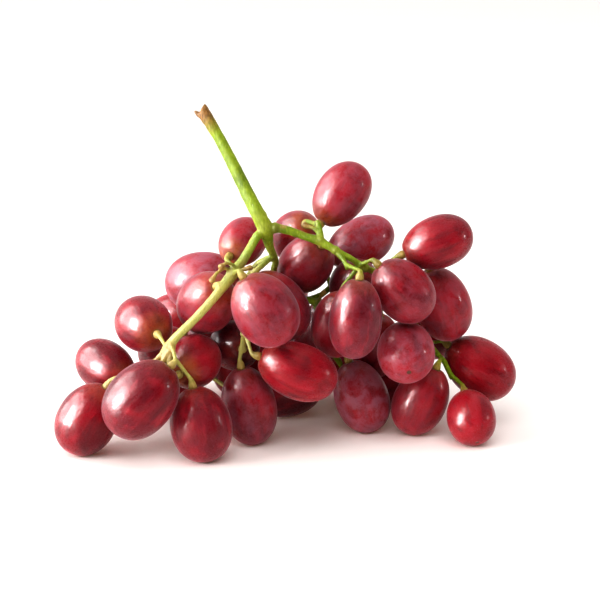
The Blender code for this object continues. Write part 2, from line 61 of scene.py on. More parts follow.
# A grape's skin: 2 would be an ellipse, more is fuller; the share by which its blossom half is
# wider; its points round it and its steps along it; and how much the steps crowd to its ends.
FULLNESS = 2.08
TAPER = 0.05
AROUND = 56
ALONG = 44
CROWDED = 0.35
# How far the skin stands past its solid, the dip round the stem, the brow round that dip, and the
# dip at the blossom end.
PROUD = 0.14
STEM_DIP = 0.55
STEM_DIP_WIDTH = 1.7
BROW = 0.10
BROW_RING = 3.2
BROW_WIDTH = 1.1
END_DIP = 0.22
END_DIP_WIDTH = 0.8
# A grape bows off its axis by about this much, and its width wavers by about this share, in waves
# round it and one that twists along it. Six waves are drawn; the first and the last aren't used.
BOW = 0.10
WAVER = 0.006
WAVES = 6
ROUND_WAVES = (1, 2, 3)
WAVE_SPREAD = 3
WAVE_FADE = 1.5
TWIST_WAVE = 4
TWIST = 2.6
TWIST_SHARE = 0.5

# Each grape's looks: how dark and purplish it is, its waxy bloom, how orange its stem end is. The
# darkness is partly each grape's own tone and partly painted shade and painted light, set grape by
# grape to how bright each looks where it lies: grapes in shadow behind others are darker.
LOOKS = {
    1: (0.52, 0.12, 0.2), 2: (0.70, 0.12, 0.2), 3: (0.70, 0.30, 0.1), 4: (0.48, 0.25, 0.4),
    5: (0.10, 1.00, 0.5), 6: (0.35, 0.60, 0.35), 7: (0.35, 0.35, 0.2), 8: (0.05, 0.75, 0.9),
    9: (0.30, 0.35, 0.7), 10: (0.65, 0.35, 0.1), 11: (0.60, 0.70, 0.1), 12: (0.92, 0.3, 0.1),
    13: (0.45, 0.5, 0.2), 14: (0.45, 0.65, 0.2), 15: (0.55, 0.50, 0.3), 16: (0.25, 0.20, 0.15),
    17: (0.9, 0.2, 0.0), 18: (0.4, 0.6, 0.2), 19: (0.2, 0.6, 0.6), 20: (0.6, 0.4, 0.4),
    21: (0.20, 0.65, 0.5), 22: (0.0, 1.00, 0.2), 23: (0.52, 0.25, 0.15), 24: (0.42, 0.60, 0.1),
    25: (0.15, 0.65, 0.1), 26: (0.68, 0.50, 0.2), 27: (0.15, 0.85, 0.2), 28: (0.25, 0.15, 0.1),
    29: (0.18, 0.30, 0.3), 30: (0.40, 1.00, 0.1), 31: (0.35, 0.45, 0.1), 32: (0.7, 0.4, 0.1),
    33: (0.5, 0.4, 0.1), 34: (0.45, 0.4, 0.2), 35: (0.3, 0.3, 0.1), 36: (0.4, 0.3, 0.2),
    47: (0.8, 0.3, 0.1),
}
# The grapes at the back draw their looks between these, and every grape its place in the pattern.
LEAST_LOOKS = (0.1, 0.3, 0)
MOST_LOOKS = (0.7, 0.7, 0.4)
PATTERN_SPREAD = 400

# Colours of the skin.
CRIMSON = (0.375, 0.0030, 0.0115)
# The dark end of each grape's darkness: its own dark purplish red, which also serves as painted
# shade.
PURPLE_AND_SHADE = (0.066, 0.0008, 0.0054)
BRIGHT_PATCH = (0.41, 0.0045, 0.0140)
DARK_PATCH = (0.056, 0.0006, 0.0044)
BRIGHT_STREAK = (0.48, 0.0240, 0.0420)
DARK_STREAK = (0.048, 0.0006, 0.0040)
FLESH = (0.38, 0.13, 0.026)
DOT = (0.45, 0.08, 0.08)
WAX = (0.42, 0.170, 0.235)
STIPPLE = (0.42, 0.20, 0.27)
END_SCAR = (0.10, 0.040, 0.020)
STEM_SCAR = (0.24, 0.13, 0.04)
SHEEN = (1.0, 0.76, 0.87, 1.0)

# Colours of the stem.
GREEN = (0.120, 0.190, 0.002)
LIME = (0.260, 0.355, 0.009)
YOUNG = (0.53, 0.475, 0.145)
BRIGHT_FIBRE = (0.42, 0.49, 0.055)
DARK_FIBRE = (0.12, 0.18, 0.005)
# Darker green at joins: partly the stem's own colour, partly painted shade beside knobs and joins.
OLIVE_AND_SHADE = (0.075, 0.105, 0.005)
FLECK = (0.16, 0.10, 0.022)
TAN = (0.32, 0.18, 0.040)
PALE_TAN = (0.48, 0.31, 0.090)
BARK = (0.13, 0.055, 0.012)
PALE_BARK = (0.36, 0.18, 0.045)

# Colours of the table: two near whites, and a faint warm painted glow that lifts and warms the shadow
# under the bunch, standing in for light off the fruit.
TABLE = (0.95, 0.925, 0.900)
TABLE_GRAIN = (0.97, 0.945, 0.920)
TABLE_GLOW = (1.0, 0.50, 0.28, 1.0)

# Swellings where branches part: place in the drawing, and size each way.
SWELLINGS = (
    ((-5.9, -12.0, 73.6), (2.3, 2.2, 2.9)),
    ((-7.3, -11.8, 76.6), (2.1, 2.1, 2.4)),
    ((-2.5, -11.9, 72.9), (1.3, 1.8, 1.8)),
    ((-16.0, -20.2, 60.0), (2.2, 2.1, 2.2)),
    ((-14.9, -19.2, 60.9), (1.6, 1.6, 1.6)),
    ((-36.4, -28.8, 37.8), (1.9, 1.8, 1.9)),
    ((17.2, -11.5, 65.3), (1.6, 1.5, 1.5)),
    ((12.2, -11.0, 68.5), (1.6, 1.6, 1.6)),
    ((27.2, -10.3, 58.9), (1.6, 1.5, 1.5)),
    ((12.0, 5.0, 42.5), (1.5, 1.5, 1.6)),
    ((-12.6, -17.5, 38.5), (1.4, 1.4, 1.4)),
)
# Ribs that spread from the joint at the left branch's end.
RIBS = (
    ((-35.4, -29.0, 39.0), (-38.8, -29.4, 35.6), (-42.2, -29.2, 31.6)),
    ((-35.4, -29.6, 38.4), (-37.8, -30.6, 34.8), (-39.8, -30.8, 30.8)),
    ((-35.0, -29.4, 38.0), (-36.2, -30.8, 34.4), (-37.0, -31.4, 30.8)),
)
RIB_RADII = (0.80, 0.75)
# The stalk's cut top, and a torn splinter on the low side of the cut.
CUT_TOP = (-26.2, -4.0, 110.4)
SPLINTER = ((-26.9, -4.2, 108.6), (-28.5, -4.4, 110.2))
SPLINTER_RADII = (0.75, 0.30)
# The knobs that end five of the six bare stalks. The sixth ends among the ribs.
BARE_TIPS = (
    (-22.7, -24.6, 58.7),
    (-19.8, -22.8, 62.8),
    (-10.5, -20.6, 61.8),
    (7.2, -8.4, 73.0),
    (13.6, 2.4, 46.8),
)
KNOB = (1.1, 1.1, 0.95)
# The cushion against each grape, turned along the stalk from inside the dip, and its warts.
CUSHION_SINK = 0.55
CUSHION_LENGTHS = (0.0, 0.35, 0.8, 1.3, 1.9, 2.7, 3.8)
CUSHION_RADII = (0.9, 1.35, 1.5, 1.25, 1.0, 0.85, 0.72)
WARTS = 7
WART = (0.36, 0.36, 0.32)
WART_RING = 1.2
WART_HEIGHT = -0.40
# Each cushion's warts start at an angle of their own: radians for a metre along X.
WART_TURN = 900

# The stem is grown as one skin from small cubes, in millimetres, and then relaxed.
GROWTH_STEP = 0.36
RELAX = 0.5
RELAX_ROUNDS = 7
CONE_SIDES = 14
# The grown skin's unevenness: height, and waves to the millimetre.
LUMPS = ((0.10, 0.45), (0.05, 1.3))
# It is fuller by this much everywhere, and by more up the stalk: from a height, over a length.
FULLER = 0.04
STALK_FULLER = 0.18
STALK_FROM = 68
STALK_OVER = 8

# What is painted round a place: the amount there, how far it fades by one, and the most it may be.
Paint = namedtuple("Paint", "amount reach most")
CUT_BROWN = Paint(1.5, 6.2, 1)
CUT_CURVE = 0.8
CUSHION_TAN = Paint(1.25, 3.2, 0.9)
KNOB_BROWN = Paint(0.95, 1.9, 0.8)
KNOB_TAN = Paint(1.3, 3.5, 0.9)
SWELLING_SPREAD = 1.7
SWELLING_SHARE = 0.35
SPOT_AMOUNT = 1.5
MOST_TAN = 0.75
# Branches turn pale below this height and left of the middle, over these lengths.
PALE_BELOW = 70
PALE_OVER = 18
PALE_ACROSS = 12
# Corky tan patches: place in the drawing, and size.
TAN_SPOTS = (
    ((-37.2, -30.2, 36.4), 4.4),
    ((-39.6, -30.6, 33.0), 3.4),
    ((0.2, -12.0, 73.6), 1.6),
    ((22.4, -13.0, 60.4), 1.8),
    ((7.0, -8.2, 73.0), 3.4),
    ((12.0, -7.0, 74.6), 1.6),
)
# Darker green where a branch is joined on, partly the stem's own colour and partly painted shade
# beside knobs and joins: place in the drawing, and size.
OLIVE_AND_SHADE_SPOTS = (
    ((-2.4, -12.6, 73.0), 2.3),
    ((-12.4, -20.8, 61.2), 2.6),
    ((-17.4, -21.6, 62.4), 1.8),
    ((12.5, 4.0, 42.0), 3.0),
    ((26.6, -11.6, 57.6), 1.8),
)

# The table, in metres: half its side, and how far it lies under the fruit.
TABLE_HALF = 3.0
TABLE_DROP = 0.0002

# Lamps, in metres and watts: place, target, size, power, and whether each is seen as a
# reflection and lights the surfaces.
Lamp = namedtuple("Lamp", "name place target size power shines lights")
FRUIT = (0, 0, 0.05)
LAMPS = (
    Lamp("window_left", (-0.88, -0.34, 0.30), FRUIT, (0.50, 0.60), 9.5, False, True),
    Lamp("window_shine", (-0.88, -0.36, 0.27), FRUIT, (0.52, 0.80), 96.0, True, False),
    Lamp("left_wall", (-1.10, -0.10, 0.55), FRUIT, (1.90, 1.50), 170.0, True, False),
    Lamp("card_right", (0.90, -0.12, 0.24), FRUIT, (0.08, 0.16), 1.8, True, False),
    Lamp("front_fill", (0.05, -0.80, 1.10), FRUIT, (1.2, 1.0), 9.0, False, True),
    Lamp("above", (0.05, 0.25, 1.30), (0, 0, 0), (1.4, 1.4), 2.0, True, True),
)
# The room's light is dim low in front and bright high behind: the way it brightens, the two
# turning points along that way, and its strength at each.
ROOM_WAY = (-0.20, 0.40, 0.75)
ROOM_FROM = (-0.25, 0.62)
ROOM_STRENGTH = (0.03, 0.88)
ROOM_COLOUR = (1.0, 0.985, 0.98, 1)

# The camera, in metres, stands off from a point of the frame and looks down on it a little. The
# view's half width at that distance gives the lens.
CAMERA_TILT = 16
CAMERA_AWAY = 0.75
CAMERA_AIM = Vector((5.7 * MM - MIDDLE.x, -MIDDLE.y, 0.045))
VIEW_HALF_WIDTH = 0.1005
SENSOR = 36.0
# A photograph's contrast: deeper darks under the bunch, a clear white table.
EXPOSURE = 0.15
GAMMA = 0.88


def frame_point(x, y, z):
    """A point of the drawing, in millimetres, as a point of the frame."""
    return Vector((x, y, z)) * MM - MIDDLE


def seed_of(name):
    """A grape's own seed, the same in every run."""
    return zlib.crc32(name.encode()) % 10007


def corners_of(node):
    """A solid's welded corners and triangles, as arrays."""
    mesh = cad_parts[node].data
    loose = np.array([v.co for v in mesh.vertices])
    keys = np.round(loose / SAME_CORNER).astype(np.int64)
    _, first, back = np.unique(keys, axis=0, return_index=True, return_inverse=True)
    mesh.calc_loop_triangles()
    triangles = np.array([t.vertices[:] for t in mesh.loop_triangles])
    return loose[first], back.reshape(-1)[triangles]


def oval(side, along):
    """How far a grape's outline reaches that way, as a share of its half length or half width."""
    return (side**FULLNESS + abs(along) ** FULLNESS) ** (-1 / FULLNESS)


def measure_grape(node, stem_points):
    """A grape's stem end, the way to its blossom end, and its half length and half width."""
    points, triangles = corners_of(node)
    links = np.bincount(triangles.ravel(), minlength=len(points))
    poles = np.flatnonzero(links >= POLE_TRIANGLES)
    near = [np.linalg.norm(stem_points - points[k], axis=1).min() for k in poles]
    pole = poles[int(np.argmin(near))]
    ring = np.unique(triangles[(triangles == pole).any(axis=1)])
    ring = ring[ring != pole]
    middle = points.mean(axis=0)
    _, _, rows = np.linalg.svd(points[ring] - points[ring].mean(axis=0))
    axis = rows[2] * np.sign(rows[2] @ (middle - points[pole]))
    start = points[pole]
    depth = (points - start) @ axis
    radius = np.linalg.norm(points - start - depth[:, None] * axis, axis=1)
    wide = radius > radius.max() * WIDEST_SHARE
    half_length = (depth[wide].min() + depth[wide].max()) / 2
    side = math.sin(math.radians(WIDEST_ANGLE))
    along = math.cos(math.radians(WIDEST_ANGLE))
    half_width = radius[wide].mean() / (side * oval(side, along))
    return start, axis, half_length, half_width


def width_waver(waves, turn, side, height):
    """The unevenness of a grape's width at one place of its skin."""
    waver = sum(
        waves[k, 0] * math.cos((k + 1) * turn + waves[k, 1] * WAVE_SPREAD) * side**2 / (k + WAVE_FADE)
        for k in ROUND_WAVES
    )
    strength, phase = waves[TWIST_WAVE]
    return waver + strength * math.cos(turn + TWIST * height + phase) * side * TWIST_SHARE


def hump(away, width):
    """One at its middle, and fading away from it over a width."""
    return math.exp(-((away / width) ** 2))


def end_dip(along, ring):
    """How far the skin is pressed in, or stands out, at the two ends of a grape."""
    if along < 0:
        return STEM_DIP * hump(ring, STEM_DIP_WIDTH) - BROW * hump(ring - BROW_RING, BROW_WIDTH)
    return -END_DIP * hump(ring, END_DIP_WIDTH)


def skin_points(rng, start, axis, half_length, half_width):
    """A skin's points in the frame, and the same points as seen from inside the grape."""
    spread = np.linspace(0, 1, ALONG + 1)
    angles = math.pi * (0.5 - 0.5 * np.cos(math.pi * spread)) * CROWDED
    angles = angles + (1 - CROWDED) * math.pi * spread
    turns = 2 * math.pi * np.arange(AROUND) / AROUND
    helper = Vector(axis).to_track_quat("Z", "Y").to_matrix()
    across_one, across_two = np.array(helper.col[0]), np.array(helper.col[1])
    middle = start + axis * half_length
    waves = rng.normal(0, 1, (WAVES, 2))
    bow = rng.normal(0, BOW, 2) * MM
    proud = PROUD * MM
    rows, local = [], []
    for angle in angles[1:-1]:
        side, along = math.sin(angle), -math.cos(angle)
        size = oval(side, along)
        height = along * size
        radius = side * size * (half_width + proud) * (1 + TAPER * height)
        lift = height * (half_length + proud) + end_dip(along, radius / MM) * MM
        for turn in turns:
            wide = radius * (1 + WAVER * width_waver(waves, turn, side, height))
            x = wide * math.cos(turn)
            y = wide * math.sin(turn)
            bowed_x, bowed_y = np.array((x, y)) + bow * (1 - height**2)
            rows.append(middle + across_one * bowed_x + across_two * bowed_y + axis * lift)
            local.append((x, y, height * half_length))
    rows.append(middle - axis * (half_length + proud - STEM_DIP * MM))
    local.append((0, 0, -half_length))
    rows.append(middle + axis * (half_length + proud - END_DIP * MM))
    local.append((0, 0, half_length))
    return np.array(rows), np.array(local)


def skin_faces():
    """The faces of a skin: rings of four-sided ones, and a fan at each end."""
    faces = []
    rings = ALONG - 1
    for ring in range(rings - 1):
        low, high = ring * AROUND, (ring + 1) * AROUND
        for k in range(AROUND):
            after = (k + 1) % AROUND
            faces.append((low + k, low + after, high + after, high + k))
    stem_end, blossom_end, last = rings * AROUND, rings * AROUND + 1, (rings - 1) * AROUND
    for k in range(AROUND):
        after = (k + 1) % AROUND
        faces.append((stem_end, after, k))
        faces.append((blossom_end, last + k, last + after))
    return faces


def store(mesh, name, values):
    """Keeps one number or one vector for each point of a mesh, for its material to read."""
    if values.ndim == 1:
        mesh.attributes.new(name, "FLOAT", "POINT").data.foreach_set("value", values)
    else:
        kept = mesh.attributes.new(name, "FLOAT_VECTOR", "POINT")
        kept.data.foreach_set("vector", values.ravel())


def berry_mesh(name, start, axis, half_length, half_width):
    """A grape's skin: a full oval with a dip at each end, gentle unevenness and its own looks."""
    rng = np.random.default_rng(seed_of(name))
    points, local = skin_points(rng, start, axis, half_length, half_width)
    if corners_of(name)[0][:, 2].min() < ON_SURFACE:
        points[:, 2] = np.maximum(points[:, 2], 0.0)
    mesh = bpy.data.meshes.new(name + "_skin")
    mesh.from_pydata([tuple(p) for p in points], [], skin_faces())
    mesh.update()
    drawn_looks = tuple(rng.uniform(LEAST_LOOKS, MOST_LOOKS))
    looks = LOOKS.get(int(name[-2:]), drawn_looks)
    shift = rng.uniform(-PATTERN_SPREAD, PATTERN_SPREAD, 3)
    store(mesh, "berry_drift", local / MM + shift)
    store(mesh, "berry_tone", np.tile(looks, (len(points), 1)))
    store(mesh, "berry_end", local[:, 2] / half_length)
    mesh.shade_smooth()
    work = bmesh.new()
    work.from_mesh(mesh)
    bmesh.ops.recalc_face_normals(work, faces=work.faces)
    work.to_mesh(mesh)
    work.free()
    return mesh


class Nodes:
    """Short calls for building a material's node tree."""

    def __init__(self, name):
        self.material = bpy.data.materials.new(name)
        self.material.use_nodes = True
        self.tree = self.material.node_tree
        self.shader = self.tree.nodes["Principled BSDF"]

    def put(self, socket, value):
        """Links a socket to another, or gives it a value."""
        if isinstance(value, bpy.types.NodeSocket):
            self.tree.links.new(value, socket)
        else:
            socket.default_value = value

    def set(self, name, value):
        """Sets one of the shader's own sockets."""
        self.put(self.shader.inputs[name], value)

    def attribute(self, name):
        """What is stored at a mesh's points under this name."""
        node = self.tree.nodes.new("ShaderNodeAttribute")
        node.attribute_name = name
        return node.outputs

    def split(self, vector):
        """A vector's three numbers."""
        node = self.tree.nodes.new("ShaderNodeSeparateXYZ")
        self.put(node.inputs[0], vector)
        return node.outputs

    def math(self, operation, one, two):
        """A sum or a product of two numbers."""
        node = self.tree.nodes.new("ShaderNodeMath")
        node.operation = operation
        self.put(node.inputs[0], one)
        self.put(node.inputs[1], two)
        return node.outputs[0]

    def drawn_out(self, vector, along):
        """A place whose third axis is slowed, so that what follows it is drawn out that way."""
        node = self.tree.nodes.new("ShaderNodeVectorMath")
        node.operation = "MULTIPLY"
        self.put(node.inputs[0], vector)
        node.inputs[1].default_value = (1.0, 1.0, along)
        return node.outputs[0]

    def noise(self, vector, scale, detail=3.0, rough=0.55, warp=0.0):
        """Cloudy noise, so many waves to the unit."""
        node = self.tree.nodes.new("ShaderNodeTexNoise")
        self.put(node.inputs["Vector"], vector)
        node.inputs["Scale"].default_value = scale
        node.inputs["Detail"].default_value = detail
        node.inputs["Roughness"].default_value = rough
        node.inputs["Distortion"].default_value = warp
        return node.outputs["Fac"]

    def spots(self, vector, scale):
        """How far the nearest scattered spot is."""
        node = self.tree.nodes.new("ShaderNodeTexVoronoi")
        self.put(node.inputs["Vector"], vector)
        node.inputs["Scale"].default_value = scale
        return node.outputs["Distance"]

    def ramp(self, value, first, last, at_first=0.0, at_last=1.0):
        """A smooth step from one amount, at the first value, to another at the last."""
        node = self.tree.nodes.new("ShaderNodeMapRange")
        node.interpolation_type = "SMOOTHSTEP"
        self.put(node.inputs["Value"], value)
        node.inputs["From Min"].default_value = first
        node.inputs["From Max"].default_value = last
        node.inputs["To Min"].default_value = at_first
        node.inputs["To Max"].default_value = at_last
        return node.outputs[0]

    def mix(self, factor, one, two):
        """One colour turning into another."""
        node = self.tree.nodes.new("ShaderNodeMix")
        node.data_type = "RGBA"
        self.put(node.inputs[0], factor)
        for socket, value in ((node.inputs[6], one), (node.inputs[7], two)):
            self.put(socket, value if isinstance(value, bpy.types.NodeSocket) else (*value, 1.0))
        return node.outputs[2]

    def bump(self, height, distance, strength):
        """Relief from a height; the distance is in metres."""
        node = self.tree.nodes.new("ShaderNodeBump")
        self.put(node.inputs["Height"], height)
        node.inputs["Distance"].default_value = distance
        node.inputs["Strength"].default_value = strength
        return node.outputs[0]


def skin_material():
    """Crimson skin with mottling, faint streaks, pale dots, a waxy bloom and brown end scars."""
    n = Nodes("grape_skin_detail")
    purple_and_shade, bloom, orange = n.split(n.attribute("berry_tone")["Vector"])
    place = n.attribute("berry_drift")["Vector"]
    end = n.attribute("berry_end")["Fac"]
    # Each grape's darkness turns crimson towards dark purplish red: partly its own tone, partly
    # painted shade and painted light set grape by grape.
    red = n.mix(purple_and_shade, CRIMSON, PURPLE_AND_SHADE)
    broad = n.noise(place, 0.10, detail=2.0, rough=0.5, warp=0.4)
    red = n.mix(n.ramp(broad, 0.50, 0.72, at_last=0.55), red, BRIGHT_PATCH)
    red = n.mix(n.ramp(broad, 0.50, 0.30, at_last=0.50), red, DARK_PATCH)
    streaks = n.noise(n.drawn_out(place, 0.16), 0.42, detail=4.0, rough=0.6, warp=0.2)
    red = n.mix(n.ramp(streaks, 0.52, 0.70, at_last=0.32), red, BRIGHT_STREAK)
    red = n.mix(n.ramp(streaks, 0.48, 0.34, at_last=0.35), red, DARK_STREAK)
    # Yellow-orange flesh shows through near the stem.
    warm = n.math("MULTIPLY", n.ramp(end, -0.55, -0.98), orange)
    warm = n.math("MULTIPLY", warm, n.ramp(streaks, 0.30, 0.62, at_first=0.45))
    red = n.mix(warm, red, FLESH)
    # Small pale breathing dots.
    dots = n.spots(place, 0.62)
    red = n.mix(n.ramp(dots, 0.13, 0.07, at_last=0.18), red, DOT)
    # The bloom: thin wax, rubbed away in patches.
    wax = n.noise(place, 0.22, detail=5.0, rough=0.62, warp=0.6)
    fine = n.noise(place, 1.6, detail=3.0, rough=0.6)
    cover = n.math("ADD", n.math("MULTIPLY", wax, 0.8), n.math("MULTIPLY", fine, 0.2))
    cover = n.ramp(cover, 0.34, 0.64)
    waxy = n.math("MULTIPLY", cover, n.math("MULTIPLY", bloom, bloom))
    red = n.mix(n.math("MULTIPLY", waxy, 0.50), red, WAX)
    # Fine pale stippling towards the blossom end.
    stipple = n.ramp(n.noise(place, 2.4, detail=2.0, rough=0.6), 0.54, 0.70)
    blossom = n.ramp(end, -0.2, 0.9, at_first=0.02, at_last=0.20)
    stipple = n.math("MULTIPLY", stipple, blossom)
    red = n.mix(stipple, red, STIPPLE)
    # The scar at the blossom end and the torn skin round the stem.
    red = n.mix(n.ramp(end, 0.9965, 0.9985), red, END_SCAR)
    collar = n.ramp(end, -0.975, -0.990)
    red = n.mix(n.math("MULTIPLY", collar, 0.8), red, STEM_SCAR)
    n.set("Base Color", red)
    rough = n.math("MULTIPLY", waxy, 0.24)
    rough = n.math("ADD", rough, n.ramp(fine, 0.3, 0.7, at_first=0.24, at_last=0.38))
    n.set("Roughness", rough)
    ripple = n.noise(n.drawn_out(place, 0.6), 0.50, detail=2.0, rough=0.5)
    height = n.math("ADD", n.math("MULTIPLY", ripple, 0.8), n.math("MULTIPLY", fine, 0.16))
    height = n.math("ADD", height, n.math("MULTIPLY", streaks, 0.40))
    n.set("Normal", n.bump(height, distance=0.00034, strength=0.75))
    n.set("Subsurface Weight", 0.40)
    n.set("Subsurface Radius", (1.0, 0.16, 0.12))
    n.set("Subsurface Scale", 0.0035)
    n.set("IOR", 1.40)
    n.set("Specular IOR Level", 0.20)
    n.set("Sheen Weight", 0.22)
    n.set("Sheen Roughness", 0.32)
    n.set("Sheen Tint", SHEEN)
    # Bare skin is glossier than waxed skin.
    n.set("Coat Weight", n.ramp(cover, 0.0, 1.0, at_first=0.26, at_last=0.02))
    n.set("Coat Roughness", 0.12)
    n.set("Coat IOR", 1.4)
    return n.material


def stem_material():
    """Fresh lime stem: paler on the young branches, brown at cuts, tan at cushions and knobs."""
    n = Nodes("green_stem_detail")
    brown, tan, pale = n.split(n.attribute("stem_paint")["Vector"])
    place = n.attribute("stem_place")["Vector"]
    broad = n.noise(place, 0.12, detail=3.0, rough=0.55, warp=0.3)
    green = n.mix(n.ramp(broad, 0.35, 0.65), GREEN, LIME)
    green = n.mix(n.math("MULTIPLY", pale, 0.80), green, YOUNG)
    fibres = n.noise(n.drawn_out(place, 0.22), 1.8, detail=4.0, rough=0.6)
    green = n.mix(n.ramp(fibres, 0.5, 0.72, at_last=0.45), green, BRIGHT_FIBRE)
    green = n.mix(n.ramp(fibres, 0.48, 0.30, at_last=0.50), green, DARK_FIBRE)
    # Darker green at joins, partly painted shade beside knobs and joins.
    green = n.mix(n.attribute("stem_olive_and_shade")["Fac"], green, OLIVE_AND_SHADE)
    flecks = n.spots(place, 0.9)
    green = n.mix(n.ramp(flecks, 0.16, 0.08, at_last=0.45), green, FLECK)
    grain = n.ramp(fibres, 0.35, 0.65)
    green = n.mix(tan, green, n.mix(grain, TAN, PALE_TAN))
    green = n.mix(brown, green, n.mix(grain, BARK, PALE_BARK))
    n.set("Base Color", green)
    n.set("Roughness", n.ramp(broad, 0.3, 0.7, at_first=0.42, at_last=0.55))
    lines = n.noise(n.drawn_out(place, 0.25), 2.6, detail=3.0, rough=0.6)
    height = n.math("ADD", n.math("MULTIPLY", lines, 0.7), n.math("MULTIPLY", fibres, 0.5))
    n.set("Normal", n.bump(height, distance=0.00035, strength=0.8))
    n.set("Subsurface Weight", 0.15)
    n.set("Subsurface Radius", (1.0, 0.9, 0.3))
    n.set("Subsurface Scale", 0.0012)
    n.set("Specular IOR Level", 0.15)
    return n.material


def table_material():
    """Plain white card with a faint grain, and a faint warm painted glow that lifts its shadows."""
    n = Nodes("white_table")
    grain = n.noise(n.tree.nodes.new("ShaderNodeTexCoord").outputs["Object"], 60.0, detail=2.0)
    n.set("Base Color", n.mix(grain, TABLE, TABLE_GRAIN))
    # A painted glow: the table gives off faint warm light, which lifts and warms the shadow under the
    # bunch.
    n.set("Emission Color", TABLE_GLOW)
    n.set("Emission Strength", 0.06)
    n.set("Roughness", 0.75)
    n.set("Specular IOR Level", 0.25)
    return n.material


def ball(work, place, radii):
    """Adds a small ellipsoid to a mesh that is being built."""
    for vertex in bmesh.ops.create_icosphere(work, subdivisions=3, radius=1.0)["verts"]:
        stretched = Vector([c * r * MM for c, r in zip(vertex.co, radii)])
        vertex.co = Vector(place) + stretched


def cone(work, start, way, lengths, radii):
    """Adds a closed turned form along a way from its start."""
    turn = Vector(way).to_track_quat("Z", "Y").to_matrix()
    loops = []
    for length, radius in zip(lengths, radii):
        loop = []
        for k in range(CONE_SIDES):
            angle = 2 * math.pi * k / CONE_SIDES
            spot = Vector((radius * math.cos(angle), radius * math.sin(angle), length)) * MM
            loop.append(work.verts.new(Vector(start) + turn @ spot))
        loops.append(loop)
    for low, high in zip(loops, loops[1:]):
        for k in range(CONE_SIDES):
            after = (k + 1) % CONE_SIDES
            work.faces.new((low[k], low[after], high[after], high[k]))
    work.faces.new(loops[0][::-1])
    work.faces.new(loops[-1])


def rod(work, start, end, radii):
    """Adds a closed rod between two points of the drawing."""
    way = frame_point(*end) - frame_point(*start)
    cone(work, frame_point(*start), way, (0.0, way.length / MM), radii)


def cushion(work, start, axis):
    """Adds the cushion at a grape's stem end, with its warts."""
    cone(work, start + axis * CUSHION_SINK * MM, -axis, CUSHION_LENGTHS, CUSHION_RADII)
    turn = Vector(axis).to_track_quat("Z", "Y").to_matrix()
    for k in range(WARTS):
        angle = 2 * math.pi * k / WARTS + start[0] * WART_TURN
        spot = (WART_RING * math.cos(angle), WART_RING * math.sin(angle), WART_HEIGHT)
        ball(work, Vector(start) + turn @ Vector(spot) * MM, WART)


def stem_form(grapes):
    """The stem's solid and all that is added to it, as overlapping closed forms."""
    work = bmesh.new()
    points, triangles = corners_of("stem")
    made = [work.verts.new(tuple(p)) for p in points]
    for triangle in triangles:
        if len(set(triangle)) == 3:
            work.faces.new([made[k] for k in triangle])
    for place, radii in SWELLINGS:
        ball(work, frame_point(*place), radii)
    for start, axis, _, _ in grapes.values():
        cushion(work, start, axis)
    for place in BARE_TIPS:
        ball(work, frame_point(*place), KNOB)
    rod(work, *SPLINTER, SPLINTER_RADII)
    for rib in RIBS:
        for start, end in zip(rib, rib[1:]):
            rod(work, start, end, RIB_RADII)
    bmesh.ops.recalc_face_normals(work, faces=work.faces)
    mesh = bpy.data.meshes.new("stem_form")
    work.to_mesh(mesh)
    work.free()
    return mesh


def grown_together(mesh):
    """Overlapping closed forms as one skin, with its joints rounded."""
    rough = bpy.data.objects.new("stem_form", mesh)
    bpy.context.scene.collection.objects.link(rough)
    remesh = rough.modifiers.new("grow", "REMESH")
    remesh.mode = "VOXEL"
    remesh.voxel_size = GROWTH_STEP * MM
    relax = rough.modifiers.new("relax", "SMOOTH")
    relax.factor = RELAX
    relax.iterations = RELAX_ROUNDS
    bpy.context.view_layer.update()
    graph = bpy.context.evaluated_depsgraph_get()
    grown = bpy.data.meshes.new_from_object(rough.evaluated_get(graph))
    bpy.data.objects.remove(rough)
    grown.name = "stem_grown"
    return grown


def roughened(mesh):
    """A grown mesh's points, moved out along its normals to be uneven and fuller in the stalk."""
    points = np.zeros(len(mesh.vertices) * 3)
    mesh.vertices.foreach_get("co", points)
    points = points.reshape(-1, 3)
    normals = np.array([v.normal for v in mesh.vertices])
    lumps = np.empty(len(points))
    for k, spot in enumerate(points):
        at = Vector(spot) / MM
        lumps[k] = sum(height * noise.noise(at * waves) for height, waves in LUMPS)
    up_stalk = np.clip((points[:, 2] / MM - STALK_FROM) / STALK_OVER, 0, 1)
    out = FULLER + STALK_FULLER * up_stalk + lumps
    return points + normals * (out * MM)[:, None]


def painted(points, place, paint):
    """An amount at each point that is strongest at a place and fades away from it."""
    away = np.linalg.norm(points - np.array(place), axis=1) / MM
    return np.clip(paint.amount - away / paint.reach, 0, paint.most)


def spot_paint(size, most):
    """The paint of a spot that is strong in its middle and gone at this distance from it."""
    return Paint(SPOT_AMOUNT, size / SPOT_AMOUNT, most)


